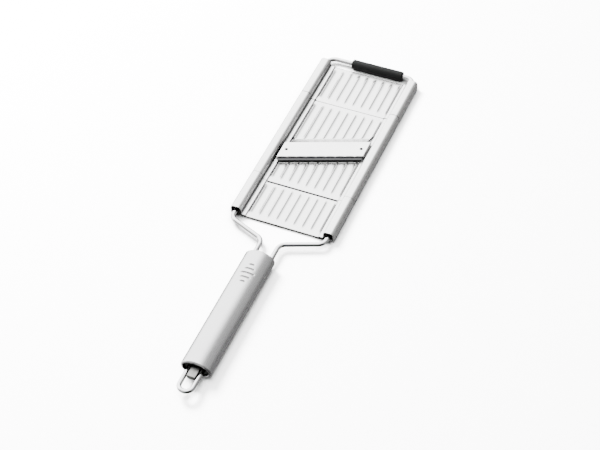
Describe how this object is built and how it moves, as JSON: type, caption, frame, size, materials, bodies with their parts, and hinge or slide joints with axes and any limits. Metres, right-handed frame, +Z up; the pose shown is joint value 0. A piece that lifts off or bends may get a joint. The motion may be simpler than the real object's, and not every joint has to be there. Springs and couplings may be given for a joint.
{
  "type": "multi slicer",
  "caption": "Steel hand slicer: ribbed plates on a bent wire frame, a lift-out insert with a slanted blade, an oval tube handle with a hanging loop and a rubber foot.",
  "frame": {"origin": "centre of the outline in X and Y, at the height of the handle's lowest line", "axes": "+X across the plates, +Y along the slicer from the hanging loop to the rubber foot, +Z up, square to the plates on the blade's side"},
  "size_m": [0.0958, 0.4106, 0.0184],
  "materials": {
    "polished_wire": "polished stainless wire",
    "satin_sheet": "satin stainless sheet",
    "bright_sheet": "smooth bright stainless sheet",
    "ground_blade": "hardened blade steel with a ground bevel",
    "rivet_steel": "small flush steel rivets",
    "black_rubber": "matte black rubber",
    "spacer_nylon": "black nylon",
    "satin_tube": "satin stainless tube, polished lengthwise",
    "core_plastic": "moulded plastic core",
    "cast_cap": "blasted steel"
  },
  "bodies": {
    "frame": {"wire_frame": "polished_wire", "rubber_sleeve": "black_rubber", "bottom_plate": "satin_sheet", "top_plate": "satin_sheet", "left_spacer_1": "spacer_nylon", "left_spacer_2": "spacer_nylon", "left_spacer_3": "spacer_nylon", "left_spacer_4": "spacer_nylon", "left_spacer_5": "spacer_nylon", "left_spacer_6": "spacer_nylon", "right_spacer_1": "spacer_nylon", "right_spacer_2": "spacer_nylon", "right_spacer_3": "spacer_nylon", "right_spacer_4": "spacer_nylon", "right_spacer_5": "spacer_nylon", "right_spacer_6": "spacer_nylon", "handle_tube": "satin_tube", "front_plug": "satin_tube", "tail_block": "core_plastic", "end_cap": "cast_cap", "hanging_loop": "polished_wire", "loop_tongue": "cast_cap"},
    "insert": {"insert_plate": "satin_sheet", "blade_holder": "bright_sheet", "blade": "ground_blade", "blade_rivets": "rivet_steel"}
  },
  "joints": [
    {"name": "insert_lift", "type": "slide", "parent": "frame", "child": "insert", "axis": [0, 0, 1], "range_m": [0, 0.03]}
  ]
}
